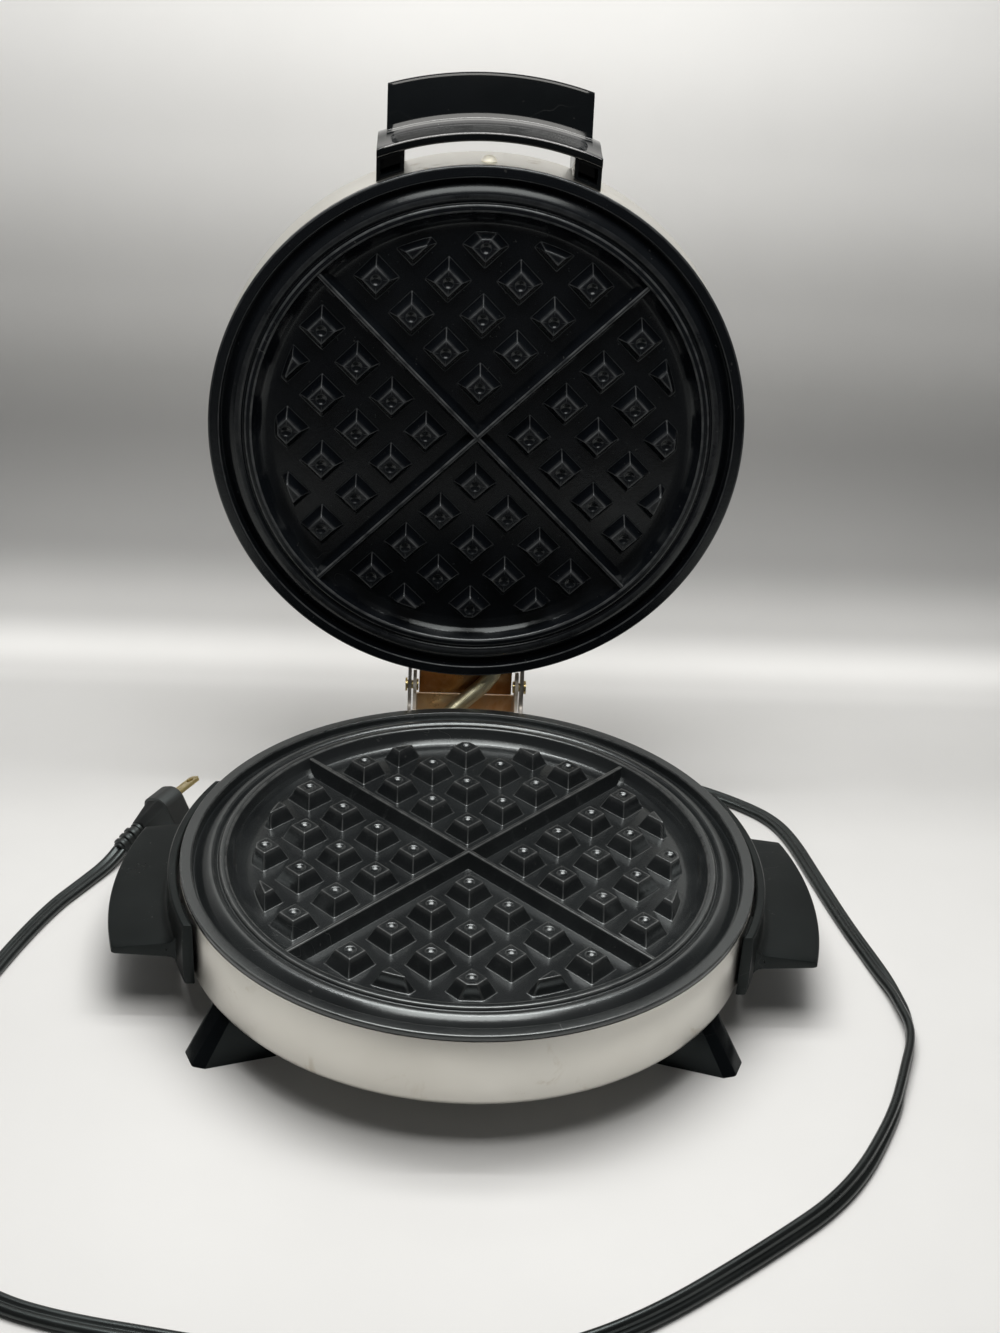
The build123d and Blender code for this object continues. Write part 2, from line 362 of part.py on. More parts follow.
# ---------------------------------------------------------------- legs
def leg():
    foot = [(107.6, -66.2), (103.4, -75.4), (98.5, -76.6), (72.5, -68.6), (67.0, -57.2), (90.0, -50.5)]
    head = [(97.2, -58.6), (92.4, -66.0), (88.5, -67.6), (68.5, -61.4), (65.0, -53.2), (86.0, -46.0)]
    s = loft([Pos(0, 0, -FLOOR_DROP) * make_face(Polyline(*foot, close=True)), Pos(0, 0, -SHELL_H - 0.05) * make_face(Polyline(*head, close=True))], ruled=True)
    try:
        es = [e for e in s.edges() if abs(e.tangent_at(0.5).Z) > 0.5 and e.center().Z > -49 and
              min(hypot(e.center().X - x, e.center().Y - y) for x, y in ((102.4, -62.4), (97.9, -70.7))) < 3.5]
        s = fillet(es, 2.6)
    except Exception as ex:
        print("leg edges left sharp", ex)
    foot_i = [(103.6, -65.6), (101.2, -71.6), (98.0, -72.4), (75.0, -65.2), (71.2, -58.0), (90.0, -53.8)]
    head_i = [(95.0, -57.6), (91.6, -63.0), (88.6, -64.2), (71.5, -58.6), (69.4, -53.9), (86.0, -49.4)]
    f = lambda a, b, t: [(p[0] + (q[0] - p[0]) * t, p[1] + (q[1] - p[1]) * t) for p, q in zip(a, b)]
    void = loft([Pos(0, 0, -FLOOR_DROP - 0.01) * make_face(Polyline(*foot_i, close=True)), Pos(0, 0, -35.4) * make_face(Polyline(*f(foot_i, head_i, 0.8), close=True))], ruled=True)
    # stiffening webs inside the hollow foot
    web = Plane(origin=(86.0, -63.6, -43.0), x_dir=(34.0, -5.5, 0), z_dir=(0, 0, 1)) * Box(70.0, 1.6, 30.0)
    cross = [Plane(origin=(x, y, -43.0), x_dir=(5.5, 34.0, 0), z_dir=(0, 0, 1)) * Box(40.0, 1.6, 30.0) for x, y in ((93.5, -64.8), (74.2, -61.4))]
    keep = void & (web + cross)
    s = s - (void - keep)
    return s
LEG_SCREW = (80.0, -58.0)
leg1 = leg()
leg_hole = Pos(LEG_SCREW[0], LEG_SCREW[1], -36) * Cylinder(2.0, 12)
leg1 = leg1 - leg_hole
leg_screw1 = screw((LEG_SCREW[0], LEG_SCREW[1], -35.4), (0, 0, -1), 8.5, r=1.9, head_r=3.4)
leg_nut1 = Pos(LEG_SCREW[0], LEG_SCREW[1], -29.65) * (extrude(RegularPolygon(3.6, 6), 2.4) - Cylinder(1.95, 8))
def corners(s):
    mx = lambda q: mirror(q, about=Plane.YZ)
    back = Rot(0, 0, BACK_LEG_TURN) * mirror(s, about=Plane.XZ)
    return {"front_right": s, "front_left": mx(s), "back_right": back, "back_left": mx(back)}
for k, v2 in corners(leg1).items():
    base[k + "_leg"] = v2
base["leg_screws"] = list(corners(leg_screw1).values())
base["leg_nuts"] = list(corners(leg_nut1).values())
leg_holes = list(corners(Pos(LEG_SCREW[0], LEG_SCREW[1], -31) * Cylinder(2.1, 6)).values())
pan = pan - leg_holes
base["bottom_pan"] = pan
base["base_shell"] = base_shell - leg_holes
base["bottom_screws"] = base_screws
lid["lid_shell"] = lid_shell
lid["lid_screws"] = lid_screws

# ---------------------------------------------------------------- leads inside
def leads(paths, d=2.4):
    return [tube(p, d) for p in paths]
base["base_leads"] = leads([
    [(52.0, 82.0, -25.0), (45.0, 76.0, -26.6), (37.0, 72.0, -26.8), (36.8, 78.6, -26.0)][:3],
    [(33.0, 61.0, -26.6), (26.0, 36.0, -26.8), (12.0, 12.0, -26.9), (5.8, 5.0, -25.6)],
    [(8.0, 75.0, -26.8), (4.0, 50.0, -26.9), (-3.0, 24.0, -26.9), (-5.8, 5.0, -25.6)],
    [(-33.0, 70.0, -26.6), (-44.0, 40.0, -26.9), (-30.0, -20.0, -26.9), (-8.0, -44.0, -26.6)],
])
lid["lid_leads"] = [flip_to_lid(t) for t in leads([
    [(20.5, 0.4, -12.6), (34.0, 6.0, -14.0), (37.5, 20.0, -19.0), (30.0, 36.0, -19.4)],
    [(-20.5, 0.4, -12.6), (-34.0, 4.0, -14.0), (-37.0, -12.0, -18.0), (-26.0, -32.0, -18.5), (-10.0, -42.0, -17.6)],
])]

# ---------------------------------------------------------------- power cord and plug
ZC = -FLOOR_DROP + CORD_D / 2
p0 = sleeve1
p1 = p0 + exit_dir * 13.0
cord_pts = [tuple(p0), tuple(p1), (90.1, 127.3, -42.4), (102.6, 129.7, -45.1), (115.4, 127.4, -46.3), (133.4, 115.8, ZC), (147.0, 103.2, ZC), (154.2, 86.5, ZC), (159.8, 54.0, ZC), (166.0, 20.0, ZC),
            (172.6, -8.0, ZC), (177.4, -33.0, ZC), (176.6, -55.0, ZC), (167.6, -77.0, ZC), (158.6, -100.0, ZC), (134.5, -138.0, ZC), (99.0, -165.5, ZC),
            (53.0, -197.0, ZC), (12.0, -212.0, ZC), (-42.0, -213.5, ZC), (-94.3, -202.6, ZC), (-128.1, -196.2, ZC), (-153.0, -188.0, ZC), (-187.0, -166.0, ZC),
            (-205.0, -126.0, ZC), (-201.8, -72.0, ZC), (-187.8, -16.8, ZC), (-175.1, 19.3, ZC), (-164.6, 37.7, ZC), (-155.6, 52.6, ZC + 0.3), (-152.4, 59.2, -44.8)]
cord = tube(cord_pts, CORD_D, "cord")
base["power_cord"] = cord
# the plug stands on its edge and leans; its axes: blades, across the blades' faces, from the upper blade to the lower
ph, pp, pl_ = radians(PLUG_HEADING), radians(PLUG_RISE), radians(PLUG_LEAN)
p_out = Vector(cos(ph) * cos(pp), sin(ph) * cos(pp), sin(pp))
p_side = Vector(sin(ph), -cos(ph), 0)
p_up = p_side.cross(p_out)
p_wide = p_up * sin(pl_) + p_side * cos(pl_)
p_down = p_side * sin(pl_) - p_up * cos(pl_)
plug_face = Vector(-129.0, 81.6, -36.0)
HEAD_W, HEAD_H, HEAD_D = 15.0, 23.5, 11.5
def across(p, w, h, r, d=None):
    return Plane(origin=p, x_dir=p_wide, z_dir=d or p_out) * RectangleRounded(w, h, r)
pe = Vector(*cord_pts[-1])
ribs_end = Vector(-145.6, 68.7, -41.4)
rd = (ribs_end - pe).normalized()
plug_relief = loft([across(pe, 5.8, 7.0, 2.6, rd), across(ribs_end, 6.6, 7.8, 2.8, rd)])
for t in (0.10, 0.38, 0.66):
    q = pe + (ribs_end - pe) * t
    plug_relief = plug_relief + extrude(across(q, 7.4 + t, 8.4 + t, 3.0, rd), 2.0, dir=rd)
base["plug_strain_relief"] = plug_relief
head = Plane(origin=plug_face - p_out * HEAD_D, x_dir=p_wide, z_dir=p_out)
body = extrude(RectangleRounded(HEAD_W, HEAD_H, 6.0), HEAD_D)
body = fillet(body.edges().group_by(Axis.Z)[-1], 1.6)
plug = head * body
arm_start = ribs_end + rd * 1.3
plug = plug + loft([across(arm_start, 7.6, 9.0, 3.0), across(plug_face - p_out * (HEAD_D - 0.02), 12.5, 20.5, 3.6)], ruled=True)
plug = plug + extrude(across(arm_start, 7.0, 8.4, 2.9, rd), 2.4, dir=-rd)
plug = plug - extrude(across(arm_start - rd * 1.28, 12.0, 14.0, 2.9, rd), 6.0, dir=-rd)
blades = []
for k in (-6.35, 6.35):
    c0 = plug_face + p_down * k + p_out * ((BLADE_L - 8.0) / 2)
    at = Plane(origin=c0, x_dir=p_out, z_dir=p_down)
    b = Box(BLADE_L + 8.0, 6.35, 1.5)
    slot = b
    b = b - Pos(BLADE_L / 2 + 4.0 - 4.0, 0, 0) * Cylinder(1.6, 6)
    try:
        b = chamfer(b.edges().filter_by(Axis.Z).group_by(Axis.X)[-1], 1.5)
    except Exception as ex:
        print("blade tips left square", ex)
    blades.append(at * b)
    plug = plug - at * slot
base["plug_body"] = plug
base["plug_blades"] = blades
base["conduit"] = conduit

# ---------------------------------------------------------------- place, measure and write
def flat(s):
    return list(s) if isinstance(s, (list, tuple)) else [s]
nodes = {}
for n, s in base.items():
    nodes[n] = [q for p in flat(s) for q in p.solids()]
for n, s in lid.items():
    nodes[n] = [opened(q) for p in flat(s) for q in p.solids()]
cord_nodes = ("power_cord", "plug_body", "plug_blades", "plug_strain_relief")
boxes = [q.bounding_box() for n, ss in nodes.items() if n not in cord_nodes for q in ss]
lo = [min(getattr(b.min, a) for b in boxes) for a in "XYZ"]
hi = [max(getattr(b.max, a) for b in boxes) for a in "XYZ"]
print("box", [round(v, 2) for v in lo], [round(v, 2) for v in hi])
SHIFT = Vector(-(lo[0] + hi[0]) / 2, -(lo[1] + hi[1]) / 2, -lo[2])
print("shift", tuple(round(v, 4) for v in SHIFT), "hinge", round(HINGE_Y + SHIFT.Y, 4), round(HINGE_Z + SHIFT.Z, 4))
for n, ss in nodes.items():
    ss = [Pos(*SHIFT) * q for q in ss]
    body = ss[0] if len(ss) == 1 else Compound(children=ss)
    body.label = n
    export_step(body, "parts/%s.step" % n)
print(len(nodes), "nodes")
for n, ss in nodes.items():
    print(n, len(ss), "solids", round(sum(q.volume for q in ss), 1))
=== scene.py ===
import bpy, bmesh, json
import random
from math import sin, cos, pi, sqrt, radians, atan2, hypot, exp, ceil
from mathutils import Vector, Matrix

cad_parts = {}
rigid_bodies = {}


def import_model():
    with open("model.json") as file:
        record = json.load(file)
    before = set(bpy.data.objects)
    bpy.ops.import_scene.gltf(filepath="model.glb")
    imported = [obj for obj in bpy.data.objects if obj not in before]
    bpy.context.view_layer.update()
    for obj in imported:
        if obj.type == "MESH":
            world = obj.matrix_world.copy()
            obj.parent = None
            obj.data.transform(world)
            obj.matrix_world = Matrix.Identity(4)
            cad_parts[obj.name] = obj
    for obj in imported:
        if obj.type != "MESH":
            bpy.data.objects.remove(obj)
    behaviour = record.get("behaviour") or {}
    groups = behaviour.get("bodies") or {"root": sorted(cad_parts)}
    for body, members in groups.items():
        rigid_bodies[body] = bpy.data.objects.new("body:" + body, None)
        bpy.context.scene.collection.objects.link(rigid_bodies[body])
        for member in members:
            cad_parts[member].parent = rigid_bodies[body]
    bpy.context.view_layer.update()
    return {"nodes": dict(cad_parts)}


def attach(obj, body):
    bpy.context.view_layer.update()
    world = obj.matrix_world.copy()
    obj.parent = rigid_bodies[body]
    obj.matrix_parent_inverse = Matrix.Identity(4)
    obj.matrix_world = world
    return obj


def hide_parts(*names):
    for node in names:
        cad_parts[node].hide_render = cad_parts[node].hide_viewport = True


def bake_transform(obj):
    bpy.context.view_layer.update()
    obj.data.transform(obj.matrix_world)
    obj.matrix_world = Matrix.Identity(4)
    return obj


for o in list(bpy.data.objects):
    bpy.data.objects.remove(o, do_unlink=True)
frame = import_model()
scene = bpy.context.scene
random.seed(7)

# ------------------------------------------------------------------ places (mm, from the lower grid's centre and stud plane)
YS, ZS = -20.2048, 50.0
def P(x, y, z):
    return Vector((x / 1000, (y + YS) / 1000, (z + ZS) / 1000))

HINGE_Y, HINGE_Z, OPEN, GAP = 124.07, 7.86, radians(-90.37), 2.1
def same(p):
    return p
def over_lid(p):
    # a point drawn for the base, mirrored over it and swung open with the lid
    x, y, z = p[0], p[1] - HINGE_Y, GAP - p[2] - HINGE_Z
    return (x, HINGE_Y + y * cos(OPEN) - z * sin(OPEN), HINGE_Z + y * sin(OPEN) + z * cos(OPEN))
def swing(p):
    # a point of the shut lid, swung open
    x, y, z = p[0], p[1] - HINGE_Y, p[2] - HINGE_Z
    return (x, HINGE_Y + y * cos(OPEN) - z * sin(OPEN), HINGE_Z + y * sin(OPEN) + z * cos(OPEN))

# ------------------------------------------------------------------ camera
YAW, PITCH, ROLL, FOCAL = 0.0568, 0.4884, 0.0565, 1698.5
fwd = Vector((sin(YAW) * cos(PITCH), cos(YAW) * cos(PITCH), -sin(PITCH)))
right = Vector((cos(YAW), -sin(YAW), 0))
up = right.cross(fwd)
r2 = right * cos(ROLL) + up * sin(ROLL)
u2 = up * cos(ROLL) - right * sin(ROLL)
cam_data = bpy.data.cameras.new("camera")
cam = bpy.data.objects.new("camera", cam_data)
scene.collection.objects.link(cam)
m = Matrix((r2, u2, -fwd)).transposed().to_4x4()
m.translation = P(-24.05, -572.38, 389.24)
cam.matrix_world = m
cam_data.sensor_width = 36.0
cam_data.sensor_fit = "AUTO"
cam_data.lens = FOCAL * 36.0 / 1333.0
cam_data.clip_start = 0.01
scene.camera = cam

# ------------------------------------------------------------------ mesh helpers
def link(name, me, body, mats=()):
    ob = bpy.data.objects.new(name, me)
    scene.collection.objects.link(ob)
    for mt in mats:
        me.materials.append(mt)
    if body:
        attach(ob, body)
    return ob

def shade(me, angle=35.0):
    # smooth faces, with the edges that turn sharply kept crisp
    bm = bmesh.new()
    bm.from_mesh(me)
    for f in bm.faces:
        f.smooth = True
    lim = radians(angle)
    for e in bm.edges:
        e.smooth = not (len(e.link_faces) == 2 and e.calc_face_angle(0.0) > lim)
    bm.to_mesh(me)
    bm.free()

def mesh_of(name, verts, faces, angle=35.0, attrs=None):
    me = bpy.data.meshes.new(name)
    me.from_pydata([tuple(v) for v in verts], [], faces)
    if attrs:
        for k, vals in attrs.items():
            a = me.attributes.new(k, "FLOAT", "POINT")
            a.data.foreach_set("value", vals)
    me.validate()
    bm = bmesh.new()
    bm.from_mesh(me)
    bmesh.ops.recalc_face_normals(bm, faces=bm.faces)
    bm.to_mesh(me)
    bm.free()
    shade(me, angle)
    return me

def refine(node, name, body, mat, round_mm=0.4, segs=2, angle=32.0, sharp=40.0, short_mm=0.002):
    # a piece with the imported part's own outline, its machined corners eased as on the real piece
    src = frame["nodes"][node]
    bm = bmesh.new()
    bm.from_mesh(src.data)
    bmesh.ops.transform(bm, matrix=src.matrix_world, verts=bm.verts)
    bmesh.ops.remove_doubles(bm, verts=bm.verts, dist=2e-6)
    bmesh.ops.dissolve_degenerate(bm, dist=short_mm / 1000, edges=bm.edges)
    bmesh.ops.dissolve_limit(bm, angle_limit=radians(0.6), use_dissolve_boundaries=False, verts=bm.verts, edges=bm.edges)
    if round_mm:
        es = [e for e in bm.edges if len(e.link_faces) == 2 and e.calc_face_angle(0.0) > radians(angle)]
        if es:
            bmesh.ops.bevel(bm, geom=es, offset=round_mm / 1000, offset_type="OFFSET", segments=segs, profile=0.5,
                            affect="EDGES", clamp_overlap=True)
    bmesh.ops.dissolve_degenerate(bm, dist=1e-6, edges=bm.edges)
    bmesh.ops.triangulate(bm, faces=[f for f in bm.faces if len(f.verts) > 4])
    me = bpy.data.meshes.new(name)
    bm.to_mesh(me)
    bm.free()
    shade(me, sharp)
    ob = link(name, me, body, [mat])
    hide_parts(node)
    return ob

# ------------------------------------------------------------------ materials
class Mat:
    def __init__(self, name):
        self.m = bpy.data.materials.new(name)
        self.m.use_nodes = True
        self.nt = self.m.node_tree
        self.b = self.nt.nodes["Principled BSDF"]
        self.tc = self.nt.nodes.new("ShaderNodeTexCoord")
        self.obj = self.tc.outputs["Object"]
    def n(self, kind, **kw):
        nd = self.nt.nodes.new(kind)
        for k, v in kw.items():
            if k in nd.inputs:
                nd.inputs[k].default_value = v
            else:
                setattr(nd, k, v)
        return nd
    def l(self, a, b):
        self.nt.links.new(a, b)
    def stretch(self, sx, sy, sz):
        mp = self.n("ShaderNodeMapping")
        mp.inputs["Scale"].default_value = (sx, sy, sz)
        self.l(self.obj, mp.inputs["Vector"])
        return mp.outputs["Vector"]
    def noise(self, scale, detail=3.0, rough=0.5, vec=None, distort=0.0):
        nd = self.n("ShaderNodeTexNoise")
        nd.inputs["Scale"].default_value = scale
        nd.inputs["Detail"].default_value = detail
        nd.inputs["Roughness"].default_value = rough
        nd.inputs["Distortion"].default_value = distort
        self.l(vec or self.obj, nd.inputs["Vector"])
        return nd.outputs["Fac"]
    def ramp(self, fac, stops, interp="LINEAR"):
        nd = self.n("ShaderNodeValToRGB")
        nd.color_ramp.interpolation = interp
        els = nd.color_ramp.elements
        while len(els) > 1:
            els.remove(els[-1])
        els[0].position = stops[0][0]
        els[0].color = (*stops[0][1], 1) if len(stops[0][1]) == 3 else stops[0][1]
        for p, c in stops[1:]:
            e = els.new(p)
            e.color = (*c, 1)
        self.l(fac, nd.inputs["Fac"])
        return nd.outputs["Color"]
    def rng(self, fac, a, b, c, d):
        nd = self.n("ShaderNodeMapRange")
        nd.inputs["From Min"].default_value = a
        nd.inputs["From Max"].default_value = b
        nd.inputs["To Min"].default_value = c
        nd.inputs["To Max"].default_value = d
        self.l(fac, nd.inputs["Value"])
        return nd.outputs["Result"]
    def math(self, op, a, b=None):
        nd = self.n("ShaderNodeMath", operation=op)
        for i, v in enumerate((a, b)):
            if v is None:
                continue
            if isinstance(v, (int, float)):
                nd.inputs[i].default_value = v
            else:
                self.l(v, nd.inputs[i])
        return nd.outputs[0]
    def mix(self, fac, a, b, blend="MIX"):
        nd = self.n("ShaderNodeMix", data_type="RGBA", blend_type=blend)
        for sock, v in ((nd.inputs["Factor"], fac), (nd.inputs[6], a), (nd.inputs[7], b)):
            if isinstance(v, (int, float)):
                sock.default_value = v
            elif isinstance(v, tuple):
                sock.default_value = (*v, 1)
            else:
                self.l(v, sock)
        return nd.outputs[2]
    def bump(self, height, strength, dist=0.0002, normal=None):
        nd = self.n("ShaderNodeBump")
        nd.inputs["Strength"].default_value = strength
        nd.inputs["Distance"].default_value = dist
        self.l(height, nd.inputs["Height"])
        if normal:
            self.l(normal, nd.inputs["Normal"])
        return nd.outputs["Normal"]
    def set(self, **kw):
        for k, v in kw.items():
            k = k.replace("_", " ")
            s = self.b.inputs[k]
            if isinstance(v, (int, float)):
                s.default_value = v
            elif isinstance(v, tuple):
                s.default_value = (*v, 1) if len(v) == 3 and s.type == "RGBA" else v
            else:
                self.l(v, s)
        return self

def scratches(mt, scale, thresh, vec=None, width=0.02):
    # long thin marks: the zero line of a stretched noise, kept only in some places
    a = mt.noise(scale, 2.0, 0.4, vec)
    line = mt.rng(mt.math("ABSOLUTE", mt.math("SUBTRACT", a, 0.5)), 0.0, width, 1.0, 0.0)
    gate = mt.rng(mt.noise(scale * 0.37, 1.0, 0.5), thresh, thresh + 0.06, 0.0, 1.0)
    return mt.math("MULTIPLY", line, gate)

def coating(name, base=(0.0085, 0.0096, 0.0102), light=(0.017, 0.019, 0.0195), rough=(0.18, 0.27), spec=0.9, worn_and_highlight_colour=(0.095, 0.097, 0.095)):
    mt = Mat(name)
    big = mt.noise(18, 4, 0.6)
    col = mt.mix(mt.rng(big, 0.35, 0.7, 0.0, 1.0), base, light)
    # the wear attribute lightens edges and rims: partly real edge wear, partly painted highlight where rounded edges
    # catch the light
    edge_wear_and_highlight = mt.n("ShaderNodeAttribute", attribute_name="edge_wear_and_highlight").outputs["Fac"]
    spots = mt.rng(mt.noise(420, 2, 0.6), 0.70, 0.76, 0.0, 1.0)
    w = mt.math("MULTIPLY", edge_wear_and_highlight, mt.rng(mt.noise(160, 3, 0.6), 0.3, 0.62, 0.25, 1.0))
    col = mt.mix(mt.math("MULTIPLY", w, 0.8), col, worn_and_highlight_colour)
    col = mt.mix(mt.math("MULTIPLY", spots, 0.35), col, (0.07, 0.07, 0.066))
    sc = scratches(mt, 55, 0.66, mt.stretch(1.0, 2.6, 1.0), 0.004)
    col = mt.mix(mt.math("MULTIPLY", sc, 0.3), col, (0.12, 0.12, 0.112))
    rg = mt.rng(mt.noise(34, 4, 0.6), 0.3, 0.7, rough[0], rough[1])
    rg = mt.math("ADD", rg, mt.math("MULTIPLY", sc, 0.1))
    grain = mt.noise(2300, 3, 0.55)
    peel = mt.noise(620, 2, 0.5)
    nrm = mt.bump(grain, 0.16, 0.00006)
    nrm = mt.bump(peel, 0.10, 0.00025, nrm)
    nrm = mt.bump(sc, 0.06, 0.00006, nrm)
    mt.set(Base_Color=col, Roughness=rg, Normal=nrm, Metallic=0.0)
    mt.b.inputs["Specular Tint"].default_value = (0.95, 1.0, 1.0, 1)
    mt.b.inputs["Specular IOR Level"].default_value = spec
    return mt.m

def plastic(name, base, light, rough, spec=0.5, specks=0.4, grain=1500, grain_s=0.10, scuff=0.5, tint=(0.88, 1.0, 0.99)):
    mt = Mat(name)
    col = mt.mix(mt.rng(mt.noise(26, 4, 0.55), 0.35, 0.68, 0.0, 1.0), base, light)
    dust = mt.rng(mt.noise(900, 1, 0.5), 0.765, 0.79, 0.0, 1.0)
    dust = mt.math("MULTIPLY", dust, mt.rng(mt.noise(40, 1, 0.5), 0.45, 0.6, 0.0, 1.0))
    col = mt.mix(mt.math("MULTIPLY", dust, specks), col, (0.35, 0.34, 0.32))
    sc = scratches(mt, 38, 0.63, mt.stretch(1.0, 3.0, 1.6), 0.005)
    col = mt.mix(mt.math("MULTIPLY", sc, 0.35 * scuff), col, (0.12, 0.12, 0.115))
    rg = mt.rng(mt.noise(30, 5, 0.62), 0.3, 0.7, rough[0], rough[1])
    rg = mt.math("ADD", rg, mt.math("MULTIPLY", sc, 0.12))
    nrm = mt.bump(mt.noise(grain, 2, 0.5), grain_s, 0.00006)
    nrm = mt.bump(sc, 0.15, 0.00006, nrm)
    mt.set(Base_Color=col, Roughness=rg, Normal=nrm)
    mt.b.inputs["Specular Tint"].default_value = (*tint, 1)
    mt.b.inputs["Specular IOR Level"].default_value = spec
    return mt.m

def metal(name, a, b, rough, scale=40, grain=(900, 900, 900), grain_s=0.12, smudge=0.5, dirt=(0.30, 0.27, 0.22)):
    mt = Mat(name)
    col = mt.mix(mt.rng(mt.noise(scale, 4, 0.6), 0.3, 0.7, 0.0, 1.0), a, b)
    sm = mt.rng(mt.noise(scale * 2.2, 5, 0.65, None, 0.6), 0.60, 0.74, 0.0, 1.0)
    col = mt.mix(mt.math("MULTIPLY", sm, smudge * 0.5), col, dirt)
    rg = mt.rng(mt.noise(scale * 1.4, 4, 0.6), 0.3, 0.7, rough[0], rough[1])
    rg = mt.math("ADD", rg, mt.math("MULTIPLY", sm, 0.10 * smudge))
    nrm = mt.bump(mt.noise(1.0, 2, 0.5, mt.stretch(*grain)), grain_s, 0.00004)
    mt.set(Base_Color=col, Roughness=rg, Normal=nrm, Metallic=1.0)
    return mt.m

M = {}
M["nonstick"] = coating("nonstick_coating")
# the lid's copy of the coating has a darker base colour than the lower grid's: painted shade on the same coating
M["nonstick_lid"] = coating("nonstick_coating_lid_painted_shade", (0.0025, 0.0032, 0.0045), (0.0055, 0.0066, 0.008), (0.17, 0.26), 0.38, (0.085, 0.088, 0.09))
M["handle_black"] = plastic("moulded_black", (0.0045, 0.0056, 0.0056), (0.009, 0.0108, 0.0108), (0.26, 0.40), 0.19, 0.5, 1300, 0.16, 0.8)
M["lid_handle_black"] = plastic("moulded_black_polished", (0.0015, 0.002, 0.0024), (0.003, 0.0038, 0.0044), (0.08, 0.13), 0.42, 0.4, 1300, 0.03, 0.25, (1.0, 0.99, 0.96))
M["leg_black"] = plastic("glossy_black", (0.002, 0.0026, 0.0034), (0.004, 0.005, 0.006), (0.09, 0.18), 0.22, 0.15, 900, 0.02, 0.3)
M["cord_black"] = plastic("cord_vinyl", (0.006, 0.0065, 0.0064), (0.012, 0.013, 0.0128), (0.24, 0.34), 0.5, 0.2, 1500, 0.12, 0.1)
M["plug_black"] = plastic("plug_vinyl", (0.012, 0.0125, 0.0125), (0.024, 0.024, 0.024), (0.36, 0.5), 0.5, 0.3, 1400, 0.16, 0.6)
M["zinc"] = metal("zinc_plate", (0.52, 0.52, 0.50), (0.62, 0.62, 0.60), (0.28, 0.42), 120)
M["aluminised"] = metal("aluminised_sheet", (0.46, 0.46, 0.45), (0.60, 0.60, 0.58), (0.38, 0.55), 70, (500, 500, 500), 0.1)
M["brass"] = metal("brass_plate", (0.60, 0.47, 0.20), (0.74, 0.62, 0.33), (0.22, 0.38), 260, (1500, 1500, 1500), 0.08, 0.6, (0.24, 0.17, 0.07))
M["element"] = metal("element_sheath", (0.16, 0.15, 0.14), (0.26, 0.24, 0.22), (0.4, 0.6), 90)
M["conduit"] = metal("conduit_strip", (0.66, 0.62, 0.42), (0.82, 0.79, 0.60), (0.36, 0.48), 180, (700, 700, 700), 0.05, 0.7, (0.30, 0.26, 0.13))

def steel():
    mt = Mat("brushed_steel")
    sep = mt.n("ShaderNodeSeparateXYZ")
    mt.l(mt.obj, sep.inputs[0])
    x, y, z = sep.outputs
    big = mt.noise(11, 4, 0.55)
    col = mt.mix(mt.rng(big, 0.3, 0.7, 0.0, 1.0), (0.585, 0.565, 0.515), (0.66, 0.645, 0.60))
    smear = mt.rng(mt.noise(60, 5, 0.68, None, 0.8), 0.58, 0.72, 0.0, 1.0)
    fingers = mt.rng(mt.noise(24, 3, 0.6, None, 0.4), 0.44, 0.60, 0.0, 1.0)
    sm = mt.math("MULTIPLY", smear, fingers)
    col = mt.mix(mt.math("MULTIPLY", sm, 0.75), col, (0.43, 0.375, 0.285))
    rg = mt.rng(mt.noise(20, 4, 0.6), 0.3, 0.7, 0.27, 0.40)
    rg = mt.math("ADD", rg, mt.math("MULTIPLY", sm, 0.12))
    fine = mt.noise(1.0, 2, 0.6, mt.stretch(160, 160, 4200))
    nrm = mt.bump(fine, 0.10, 0.00003)
    nrm = mt.bump(mt.noise(14, 2, 0.5), 0.10, 0.0012, nrm)
    mt.set(Base_Color=col, Roughness=rg, Normal=nrm, Metallic=1.0)
    return mt.m
M["steel"] = steel()

def heat_bracket(name, tones, metal_part=1.0):
    # heat colours over the plate, with the ears left nearly silver
    mt = Mat(name)
    a = mt.noise(46, 4, 0.6, mt.stretch(1.0, 0.5, 0.7), 0.5)
    col = mt.ramp(a, [(0.24, tones[0]), (0.40, tones[1]), (0.52, tones[2]), (0.64, tones[3]), (0.85, tones[4])])
    b = mt.rng(mt.noise(230, 4, 0.65), 0.5, 0.72, 0.0, 1.0)
    col = mt.mix(mt.math("MULTIPLY", b, 0.35), col, tones[5])
    c = mt.rng(mt.noise(90, 4, 0.7, None, 1.0), 0.60, 0.7, 0.0, 1.0)
    col = mt.mix(mt.math("MULTIPLY", c, 0.4), col, (0.22, 0.12, 0.06))
    sep = mt.n("ShaderNodeSeparateXYZ")
    mt.l(mt.obj, sep.inputs[0])
    ear = mt.rng(mt.math("ABSOLUTE", sep.outputs[0]), 0.0218, 0.0234, 0.0, 0.85)
    silver = mt.mix(mt.rng(mt.noise(140, 4, 0.6), 0.35, 0.65, 0.0, 1.0), (0.56, 0.52, 0.45), (0.78, 0.76, 0.71))
    col = mt.mix(ear, col, silver)
    rg = mt.rng(mt.noise(120, 4, 0.6), 0.3, 0.7, 0.24, 0.42)
    nrm = mt.bump(mt.noise(1.0, 3, 0.6, mt.stretch(2200, 400, 400)), 0.12, 0.00005)
    mt.set(Base_Color=col, Roughness=rg, Normal=nrm, Metallic=metal_part)
    return mt.m
M["bracket"] = heat_bracket("heat_stained_steel", [(0.62, 0.40, 0.24), (0.74, 0.46, 0.22), (0.86, 0.62, 0.36), (0.84, 0.66, 0.46), (0.66, 0.54, 0.44), (0.90, 0.80, 0.60)], 0.45)
